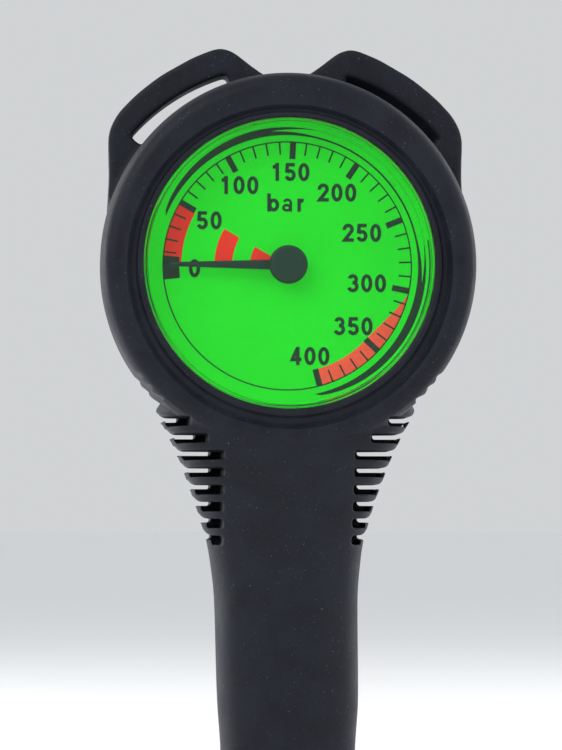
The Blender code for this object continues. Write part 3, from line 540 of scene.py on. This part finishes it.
def build_boot(looks):
    """The rubber boot: head, lugs, finned neck and sleeve in one moulding."""
    boot = neck()
    for other in (head(), lug(1), lug(-1)):
        combine(boot, other, "UNION")
    for side in (1, -1):
        for cutter in [strap_slot(side), *fin_slots(side), *notches(side)]:
            combine(boot, cutter, "DIFFERENCE")
    remesh(boot)
    soften(boot, 2)
    soften(boot, 30, group_away_from_fins(boot))
    reduce = boot.modifiers.new("reduce", "DECIMATE")
    reduce.ratio = 0.22
    evaluated(boot)
    combine(boot, head_hollow(), "DIFFERENCE")
    combine(boot, hose_bore(), "DIFFERENCE")
    combine(boot, window_lip(), "UNION")
    boot.data.materials.clear()
    boot.data.materials.append(looks)
    boot.data.shade_smooth()
    boot.data.set_sharp_from_angle(angle=math.radians(40))
    boot.name = "boot"
    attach(boot, "gauge")
    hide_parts("rubber_boot")
    return boot


class Looks:
    """A material under construction: a Principled shader and helpers that add nodes to it."""

    def __init__(self, name, **values):
        self.material = bpy.data.materials.new(name)
        self.material.use_nodes = True
        self.tree = self.material.node_tree
        self.shader = self.tree.nodes["Principled BSDF"]
        for socket, value in values.items():
            self.shader.inputs[socket.replace("_", " ")].default_value = value
        self.coordinates = self.tree.nodes.new("ShaderNodeTexCoord").outputs["Object"]

    def place(self, scale=(1.0, 1.0, 1.0)):
        """Coordinates in millimetres from the dial's centre, stretched."""
        mapping = self.tree.nodes.new("ShaderNodeMapping")
        mapping.vector_type = "TEXTURE"
        mapping.inputs["Location"].default_value = DIAL_CENTRE
        mapping.inputs["Scale"].default_value = tuple(MM * part for part in scale)
        self.tree.links.new(self.coordinates, mapping.inputs["Vector"])
        return mapping.outputs["Vector"]

    def noise(self, size, detail=3.0, roughness=0.5, stretch=(1.0, 1.0, 1.0)):
        """Noise whose features are about the given size in millimetres."""
        noise = self.tree.nodes.new("ShaderNodeTexNoise")
        noise.inputs["Scale"].default_value = 1.0 / size
        noise.inputs["Detail"].default_value = detail
        noise.inputs["Roughness"].default_value = roughness
        self.tree.links.new(self.place(stretch), noise.inputs["Vector"])
        return noise.outputs["Fac"]

    def rings(self, pitch, distortion=0.5):
        """Fine turning marks round the dial's axis."""
        wave = self.tree.nodes.new("ShaderNodeTexWave")
        wave.wave_type = "RINGS"
        wave.rings_direction = "Y"
        wave.inputs["Scale"].default_value = 0.31 / pitch
        wave.inputs["Distortion"].default_value = distortion
        self.tree.links.new(self.place(), wave.inputs["Vector"])
        return wave.outputs["Fac"]

    def spread(self, value, low, high, to_low=0.0, to_high=1.0):
        """Map part of a value's range to another range."""
        node = self.tree.nodes.new("ShaderNodeMapRange")
        node.inputs["From Min"].default_value = low
        node.inputs["From Max"].default_value = high
        node.inputs["To Min"].default_value = to_low
        node.inputs["To Max"].default_value = to_high
        self.tree.links.new(value, node.inputs["Value"])
        return node.outputs["Result"]

    def mixed(self, factor, first, second):
        """Mix two colours; each is a colour or a socket."""
        mix = self.tree.nodes.new("ShaderNodeMix")
        mix.data_type = "RGBA"
        self.tree.links.new(factor, mix.inputs["Factor"])
        for socket, colour in ((mix.inputs[6], first), (mix.inputs[7], second)):
            if isinstance(colour, tuple):
                socket.default_value = (*colour, 1.0)
            else:
                self.tree.links.new(colour, socket)
        return mix.outputs[2]

    def feed(self, socket, value):
        """Link a value to one of the shader's sockets."""
        self.tree.links.new(value, self.shader.inputs[socket])

    def bump(self, *layers):
        """Bump from (value, height in millimetres) layers, one after another."""
        normal = None
        for value, height in layers:
            node = self.tree.nodes.new("ShaderNodeBump")
            node.inputs["Distance"].default_value = height * MM
            self.tree.links.new(value, node.inputs["Height"])
            if normal:
                self.tree.links.new(normal, node.inputs["Normal"])
            normal = node.outputs["Normal"]
        self.tree.links.new(normal, self.shader.inputs["Normal"])


def rubber_looks():
    """Matte bluish-black moulded rubber with a fine grain, faint mottling and dust specks."""
    looks = Looks("moulded_rubber", Specular_IOR_Level=0.2, Sheen_Weight=0.04, Sheen_Roughness=0.4)
    looks.shader.inputs["Sheen Tint"].default_value = (0.7, 0.72, 1.0, 1.0)
    mottle = looks.noise(7.0, detail=4.0, roughness=0.6)
    tone = looks.mixed(looks.spread(mottle, 0.35, 0.65), (0.005, 0.006, 0.011), (0.009, 0.011, 0.018))
    specks = looks.spread(looks.noise(0.35, detail=2.0), 0.70, 0.75)
    looks.feed("Base Color", looks.mixed(specks, tone, (0.08, 0.085, 0.1)))
    looks.feed("Roughness", looks.spread(mottle, 0.3, 0.7, 0.46, 0.62))
    looks.bump((looks.noise(9.0, detail=2.0), 0.25), (looks.noise(0.3, detail=3.0), 0.035))
    return looks.material


def seal_looks():
    """Smooth black nitrile."""
    looks = Looks("nitrile", Specular_IOR_Level=0.45)
    patches = looks.noise(1.5)
    looks.feed("Base Color", looks.mixed(patches, (0.012, 0.012, 0.012), (0.03, 0.03, 0.03)))
    looks.feed("Roughness", looks.spread(patches, 0.3, 0.7, 0.3, 0.5))
    looks.bump((looks.noise(0.2), 0.008))
    return looks.material


def metal_looks(name, dark, light, roughness):
    """Machined metal with turning marks and slight tarnish."""
    looks = Looks(name, Metallic=1.0)
    tarnish = looks.noise(4.0, detail=5.0, roughness=0.65)
    looks.feed("Base Color", looks.mixed(looks.spread(tarnish, 0.35, 0.7), light, dark))
    low, high = roughness
    looks.feed("Roughness", looks.spread(tarnish, 0.3, 0.7, low, high))
    looks.bump((looks.rings(0.12), 0.006), (looks.noise(0.5), 0.01))
    return looks.material


def luminous_painted_glow_looks(name, painted_glow):
    """Luminous green paint whose glow is raised into painted light, so it looks evenly lit, with the faint
    grain of a printed plate.
    """
    looks = Looks(name, Specular_IOR_Level=0.1, Emission_Strength=painted_glow)
    grain = looks.noise(0.5, detail=4.0, roughness=0.7)
    cloud = looks.noise(14.0, detail=2.0)
    green = looks.mixed(looks.spread(grain, 0.3, 0.7), (0.0012, 0.35, 0.004), (0.0025, 0.42, 0.007))
    green = looks.mixed(looks.spread(cloud, 0.3, 0.7, 0.0, 0.35), green, (0.0015, 0.32, 0.003))
    looks.feed("Base Color", green)
    # the same green also glows: partly the paint's own glow, partly painted light
    looks.feed("Emission Color", green)
    looks.feed("Roughness", looks.spread(grain, 0.3, 0.7, 0.5, 0.65))
    looks.bump((grain, 0.006))
    return looks.material


def ink_looks(name, dark, light, painted_glow=0.0):
    """Printed ink, or paint on the pointer, a little uneven; a painted glow can be added to lift its
    brightness.
    """
    looks = Looks(name, Specular_IOR_Level=0.15, Emission_Strength=painted_glow)
    patches = looks.noise(0.6, detail=4.0, roughness=0.7)
    tone = looks.mixed(looks.spread(patches, 0.3, 0.7), dark, light)
    looks.feed("Base Color", tone)
    if painted_glow:
        looks.feed("Emission Color", tone)
    looks.feed("Roughness", looks.spread(patches, 0.3, 0.7, 0.4, 0.6))
    looks.bump((patches, 0.004))
    return looks.material


def lens_looks():
    """Clear polycarbonate with faint smears, which lets lamp light through."""
    looks = Looks("clear_lens", Transmission_Weight=1.0, IOR=1.3, Specular_IOR_Level=0.1)
    looks.shader.inputs["Base Color"].default_value = (0.97, 1.0, 0.97, 1.0)
    smears = looks.noise(9.0, detail=5.0, roughness=0.6, stretch=(1.0, 1.0, 3.0))
    looks.feed("Roughness", looks.spread(smears, 0.45, 0.8, 0.0, 0.02))
    looks.bump((looks.noise(12.0), 0.01))
    nodes, links = looks.tree.nodes, looks.tree.links
    clear = nodes.new("ShaderNodeBsdfTransparent")
    lamp = nodes.new("ShaderNodeLightPath")
    mix = nodes.new("ShaderNodeMixShader")
    links.new(lamp.outputs["Is Shadow Ray"], mix.inputs["Fac"])
    links.new(looks.shader.outputs["BSDF"], mix.inputs[1])
    links.new(clear.outputs["BSDF"], mix.inputs[2])
    links.new(mix.outputs["Shader"], nodes["Material Output"].inputs["Surface"])
    return looks.material


def build_lens(looks):
    """The stepped clear lens, with a fine groove inside its rounded edge."""
    groove, window = 27.1, 27.7
    flange = LENS_FRONT - 2.2
    profile = softened([
        (0.0, LENS_FRONT),
        (groove - 0.12, LENS_FRONT),
        (groove, LENS_FRONT - 0.25),
        (groove + 0.12, LENS_FRONT - 0.02),
        (window - 0.15, LENS_FRONT - 0.1),
        (window, LENS_FRONT - 0.4),
        (window, flange),
        (LENS_RADIUS, flange),
        (LENS_RADIUS, LENS_BACK),
        (0.0, LENS_BACK),
    ], cut=0.08, count=4, closed=False)
    lens = turned("lens_glass", profile, looks, steps=320, sharp=50.0)
    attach(lens, "gauge")
    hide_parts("lens")


def build_spacer(looks):
    """The green spacer ring under the lens."""
    inner = SPACER_RADIUS - 1.3
    profile = softened([
        (inner, SPACER_FRONT), (SPACER_RADIUS, SPACER_FRONT),
        (SPACER_RADIUS, SPACER_BACK), (inner, SPACER_BACK),
    ], cut=0.15, count=4)
    ring = turned("spacer_ring", profile, looks, closed=True, steps=320)
    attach(ring, "gauge")
    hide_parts("dial_spacer_ring")


def printed(name, outlines, looks, thickness=PRINT_THICKNESS):
    """A patch of print on the dial's face."""
    patch = plate(name, outlines, DIAL_FACE, DIAL_FACE + thickness, looks)
    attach(patch, "gauge")
    return patch


def band(inner, outer, start, end):
    """A ring-shaped outline between two radii and two angles."""
    count = max(4, round(abs(end - start) / 1.5))
    return arc(outer, start, end, count) + arc(inner, end, start, count)


def tick(angle, length, width):
    """A tick that runs inwards from the scale circle."""
    direction = Vector(polar(1.0, angle))
    side = Vector((-direction.y, direction.x)) * width / 2
    outer = direction * SCALE_RADIUS
    inner = direction * (SCALE_RADIUS - length)
    return [tuple(p) for p in (outer - side, outer + side, inner + side, inner - side)]


def scale_angles():
    """The angle of each 10 bar from 0 to 400."""
    anchors = (ZERO_ANGLE, *MAJOR_ANGLES)
    angles = []
    for low, high in zip(anchors, anchors[1:]):
        angles += [low + (high - low) * i / 5 for i in range(5)]
    return [*angles, anchors[-1]]


def build_print(ink, red, red_light):
    """The scale circle, ticks, dark painted shade lines, red zones, numerals and unit."""
    line = SCALE_LINE
    ring = [arc(SCALE_RADIUS + line / 2, 0, 360, 240)[:-1], arc(SCALE_RADIUS - line / 2, 0, 360, 240)[:-1]]
    printed("print_circle", ring, ink)
    angles = scale_angles()
    for i, angle in enumerate(angles):
        if i == 0:
            continue
        length, width = MAJOR_TICK if i % 5 == 0 else MINOR_TICK
        printed(f"print_tick_{10 * i:03d}", [tick(angle, length, width)], ink, PRINT_THICKNESS * 2)
    printed("print_zero", [band(SCALE_RADIUS - 3.1, SCALE_RADIUS, 175.6, 186.8)], ink, PRINT_THICKNESS * 2)
    # painted shade: a dark crescent near the dial's edge, standing for the shaded step under the lens rim
    printed("painted_shade_crescent", painted_shade_crescent_outlines(), ink)
    # painted shade: a dark line on the spacer ring's front, standing for a shadow line at the lens edge
    rim = band(*SHADE_LINE_RADII, 150.0, 370.0)
    painted_shade_ring = plate("painted_shade_rim", [rim], SPACER_FRONT, SPACER_FRONT + PRINT_THICKNESS, ink)
    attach(painted_shade_ring, "gauge")
    for name, outline, looks in (
        ("print_red_low", band(20.3, SCALE_RADIUS, 150.5, 180.0), red),
        ("print_red_ring", band(10.6, 14.0, 150.0, 180.0), red),
        ("print_red_middle", [(0.0, 0.0), *arc(7.2, 150.0, 180.0, 12)], red),
        ("print_red_high", red_crescent(), red_light),
    ):
        printed(name, [outline], looks)
    for text, at in NUMERALS.items():
        numeral(text, at, ink)


def painted_shade_crescent_outlines():
    """Painted shade near the dial's edge, standing for the shaded step under the lens rim: a dark thin
    lune whose two ends are solid.
    """
    inner, widest = 25.1, 1.75
    start, end = -78.0, 158.0
    hole_start, hole_end, taper = 0.3, 0.74, 0.08
    count = 96
    outer_edge, hole_outer, hole_inner = [], [], []
    for i in range(count + 1):
        share = i / count
        angle = start + (end - start) * share
        width = widest * math.sin(math.pi * share) ** 0.4
        outer_edge.append(polar(inner + 0.05 + width, angle))
        if hole_start <= share <= hole_end:
            fade = min(1.0, (share - hole_start) / taper, (hole_end - share) / taper)
            middle = inner + width / 2 + 0.1
            half = 0.02 + (width / 2 - 0.27) * fade
            hole_outer.append(polar(middle + half, angle))
            hole_inner.append(polar(middle - half, angle))
    inner_edge = [polar(inner, start + (end - start) * i / count) for i in range(count + 1)]
    return [outer_edge + inner_edge[::-1], hole_outer + hole_inner[::-1]]


def red_crescent():
    """The red zone near full, which widens from nothing to its full width."""
    start, full, end = -13.0, -43.0, -75.0
    widest = 3.2
    count = 40
    inner = []
    for i in range(count + 1):
        angle = end + (start - end) * i / count
        grown = min(1.0, max(0.0, (start - angle) / (start - full)))
        inner.append(polar(SCALE_RADIUS - widest * math.sin(grown * math.pi / 2), angle))
    return arc(SCALE_RADIUS, start, end, count) + inner


def bow(centre, radii, start, end):
    """Points along part of an oval, from one angle to another."""
    count = max(6, round(abs(end - start) / 12))
    angles = [math.radians(start + (end - start) * i / count) for i in range(count + 1)]
    return [(centre[0] + radii[0] * math.cos(a), centre[1] + radii[1] * math.sin(a)) for a in angles]


def stroke(path, width):
    """The outlines of a stroke of even width along a path, which may be a closed ring."""
    ring = (Vector(path[0]) - Vector(path[-1])).length < 1e-4
    points = [Vector(point) for point in (path[:-1] if ring else path)]
    sides = []
    for i, point in enumerate(points):
        before = points[i - 1] if ring or i > 0 else None
        after = points[(i + 1) % len(points)] if ring or i < len(points) - 1 else None
        into = (point - before).normalized() if before else (after - point).normalized()
        out = (after - point).normalized() if after else into
        mitre = (into + out).normalized()
        reach = width / 2 / max(0.35, mitre.dot(into))
        sides.append((point, Vector((-mitre.y, mitre.x)) * reach))
    left = [tuple(point + side) for point, side in sides]
    right = [tuple(point - side) for point, side in sides]
    return [left, right] if ring else [left + right[::-1]]


def glyph(letter):
    """The strokes of a numeral or letter one unit high, their width, and the distance onwards."""
    width = STROKE * (0.74 if letter == "a" else 1.0)
    foot, top = width / 2, 1.0 - width / 2
    waist = 0.365
    strokes = {
        "0": [bow((0.0, 0.5), (0.21, top - 0.5), 0.0, 360.0)],
        "1": [[(0.05, 0.0), (0.05, 1.0)], [(-0.2, 0.76), (-0.05, 0.79), (0.05, 0.9)]],
        "2": [[*bow((0.0, top - 0.21), (0.21, 0.21), 190.0, -30.0), (-0.19, foot), (0.31, foot)]],
        "3": [
            bow((-0.01, top - 0.19), (0.19, 0.19), 165.0, -95.0),
            bow((-0.01, foot + 0.22), (0.22, 0.22), 95.0, -165.0),
        ],
        "4": [[(0.07, 0.93), (-0.21, 0.31), (0.29, 0.31)], [(0.09, 0.0), (0.09, 1.0)]],
        "5": [
            [(0.26, top), (-0.15, top), (-0.19, 0.46)],
            bow((0.0, foot + 0.23), (0.21, 0.23), 145.0, -165.0),
        ],
        "b": [[(-0.2, 0.0), (-0.2, 1.0)], bow((0.05, waist), (0.21, waist - foot), 3.0, 363.0)],
        "a": [
            [(0.18, 0.0), *bow((0.0, 0.5), (0.18, 0.73 - 0.5 - foot), 0.0, 165.0)],
            bow((-0.04, 0.22), (0.18, 0.22 - foot), 3.0, 363.0),
        ],
        "r": [[(-0.12, 0.0), (-0.12, 0.74)], bow((0.1, 0.42), (0.2, 0.73 - 0.42 - foot), 155.0, 78.0)],
    }
    advance = {"b": 0.81, "a": 0.76}.get(letter, 0.755)
    return strokes[letter], width, advance


def numeral(text, at, looks):
    """Bold printed lettering centred on a point."""
    height = NUMERAL_HEIGHT
    glyphs = [glyph(letter) for letter in text]
    start = at[0] - height * sum(advance for *_, advance in glyphs[:-1]) / 2
    patch = None
    for strokes, width, advance in glyphs:
        for path in strokes:
            placed = [(start + height * x, at[1] + height * (y - 0.5)) for x, y in path]
            part = plate(
                f"print_text_{text}", stroke(placed, height * width),
                DIAL_FACE, DIAL_FACE + PRINT_THICKNESS, looks,
            )
            patch = combine(patch, part, "UNION") if patch else part
        start += height * advance
    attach(patch, "gauge")


def build_pointer(ink):
    """The tapered needle and its low domed cap."""
    tip_half, root_half = 0.38, 0.95
    hub = CAP_RADIUS - 0.5
    needle = arc(hub, -160.0, 160.0, 40)
    needle += [(-hub, root_half), (-NEEDLE_LENGTH + 0.2, tip_half), (-NEEDLE_LENGTH, 0.2)]
    needle += [(-NEEDLE_LENGTH, -0.2), (-NEEDLE_LENGTH + 0.2, -tip_half), (-hub, -root_half)]
    blade = plate("pointer_needle", [needle], NEEDLE_BACK, NEEDLE_FRONT, ink)
    bevel = blade.modifiers.new("edge", "BEVEL")
    bevel.width = 0.08 * MM
    bevel.segments = 2
    bevel.limit_method = "ANGLE"
    evaluated(blade)
    blade.data.shade_smooth()
    blade.data.set_sharp_from_angle(angle=math.radians(35))
    cap_profile = softened([
        (0.0, CAP_FRONT), (CAP_RADIUS - 0.5, CAP_FRONT - 0.02), (CAP_RADIUS - 0.1, CAP_FRONT - 0.2),
        (CAP_RADIUS, CAP_FRONT - 0.6), (CAP_RADIUS, CAP_BACK), (0.0, CAP_BACK),
    ], cut=0.2, count=6, closed=False)
    cap = turned("pointer_boss", cap_profile, ink, steps=128, sharp=50.0)
    for piece, node in ((blade, "pointer"), (cap, "pointer_cap")):
        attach(piece, "pointer")
        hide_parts(node)


def dress(nodes, looks):
    """Give carried-over model nodes a detailed material."""
    for name in nodes:
        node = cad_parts[name]
        node.data.materials.clear()
        node.data.materials.append(looks)


def area_light(name, at, towards, size, power):
    """A soft white rectangular light."""
    lamp = bpy.data.lights.new(name, "AREA")
    lamp.shape = "RECTANGLE"
    lamp.size, lamp.size_y = size
    lamp.energy = power
    holder = bpy.data.objects.new(name, lamp)
    holder.location = at
    holder.rotation_euler = (Vector(towards) - Vector(at)).to_track_quat("-Z", "Y").to_euler()
    bpy.context.scene.collection.objects.link(holder)


def build_studio():
    """A plain pale floor, a pale surround and soft lights."""
    bm = bmesh.new()
    bmesh.ops.create_grid(bm, x_segments=1, y_segments=1, size=30.0)
    mesh = bpy.data.meshes.new("floor")
    bm.to_mesh(mesh)
    bm.free()
    floor = bpy.data.objects.new("floor", mesh)
    floor.location = (0.0, 0.0, CAD_BOX[0].z)
    looks = Looks("floor_paper")
    tone = looks.noise(40.0, detail=3.0)
    looks.feed("Base Color", looks.mixed(tone, (0.96, 0.965, 0.97), (0.98, 0.985, 0.99)))
    looks.feed("Roughness", looks.spread(tone, 0.3, 0.7, 0.7, 0.8))
    looks.bump((looks.noise(0.6), 0.004))
    mesh.materials.append(looks.material)
    bpy.context.scene.collection.objects.link(floor)

    world = bpy.data.worlds.new("studio")
    world.use_nodes = True
    background = world.node_tree.nodes["Background"]
    background.inputs["Color"].default_value = (0.86, 0.88, 0.9, 1.0)
    background.inputs["Strength"].default_value = 0.74
    bpy.context.scene.world = world
    bpy.context.scene.view_settings.view_transform = "Standard"

    middle = (0.0, 0.0, 0.02)
    area_light("key", (-0.5, -0.55, 0.55), middle, (0.5, 0.5), 3.6)
    area_light("fill", (0.6, -0.4, 0.3), middle, (0.5, 0.6), 1.5)
    area_light("left_rim", (-0.55, 0.35, 0.2), middle, (0.3, 0.6), 2.4)
    area_light("right_rim", (0.55, 0.35, 0.25), middle, (0.3, 0.6), 1.4)


def build_camera():
    """A long lens in front of the dial, slightly to its left and below its axis."""
    aim = Vector((-0.00176, -0.018, 0.0245))
    distance = 0.55
    left, below = math.radians(3.8), math.radians(3.0)
    offset = Vector((
        -math.sin(left) * math.cos(below), -math.cos(left) * math.cos(below), -math.sin(below),
    ))
    lens = bpy.data.cameras.new("camera")
    lens.sensor_fit = "VERTICAL"
    lens.sensor_height = 36.0
    lens.lens = 139.1
    camera = bpy.data.objects.new("camera", lens)
    camera.location = aim + offset * distance
    camera.rotation_euler = (-offset).to_track_quat("-Z", "Y").to_euler()
    bpy.context.scene.collection.objects.link(camera)
    bpy.context.scene.camera = camera


RUBBER = rubber_looks()
SEAL = seal_looks()
BRASS = metal_looks("machined_brass", (0.42, 0.27, 0.10), (0.78, 0.57, 0.27), (0.22, 0.42))
STEEL = metal_looks("turned_steel", (0.32, 0.32, 0.34), (0.56, 0.56, 0.58), (0.2, 0.4))
# the dial's luminous paint is given a strong glow: partly its own, partly painted light that lights it
# evenly through the lens
LUMINOUS_PAINTED_GLOW = luminous_painted_glow_looks("luminous_dial_painted_glow", 0.75)
INK = ink_looks("dial_ink", (0.001, 0.020, 0.008), (0.003, 0.035, 0.014))
POINTER_PAINT = ink_looks("pointer_paint", (0.001, 0.020, 0.010), (0.003, 0.034, 0.018))
# the red inks carry a painted glow (emission) that stands in for lamp light under the lens
RED = ink_looks("dial_red", (0.52, 0.014, 0.004), (0.62, 0.022, 0.007), 0.25)
RED_LIGHT = ink_looks("dial_red_light", (0.56, 0.055, 0.025), (0.66, 0.08, 0.04), 0.25)

BRASS_NODES = [
    "gauge_case", "bourdon_tube", "connecting_link", "hairspring", "hairspring_collet",
    "hairspring_stud", "movement_back_plate", "movement_front_plate", "pillar_1", "pillar_2",
    "pillar_3", "pinion_arbor", "pointer_bushing", "sector_gear", "socket_stem", "tube_end_piece",
]
STEEL_NODES = [
    "case_screw_left", "case_screw_right", "lens_retaining_ring", "pillar_screw_1",
    "pillar_screw_2", "pillar_screw_3", "sector_arbor", "socket_screw_left",
    "socket_screw_right", "swivel_spool", "tail_pin", "tip_pin",
]
SEAL_NODES = [
    "lens_o_ring", "relief_plug", "spool_o_ring_lower", "spool_o_ring_upper", "stem_gasket",
]

build_camera()
build_studio()
build_boot(RUBBER)
build_lens(lens_looks())
build_spacer(LUMINOUS_PAINTED_GLOW)
build_print(INK, RED, RED_LIGHT)
build_pointer(POINTER_PAINT)
dress(BRASS_NODES, BRASS)
dress(STEEL_NODES, STEEL)
dress(SEAL_NODES, SEAL)
dress(["dial_plate"], LUMINOUS_PAINTED_GLOW)
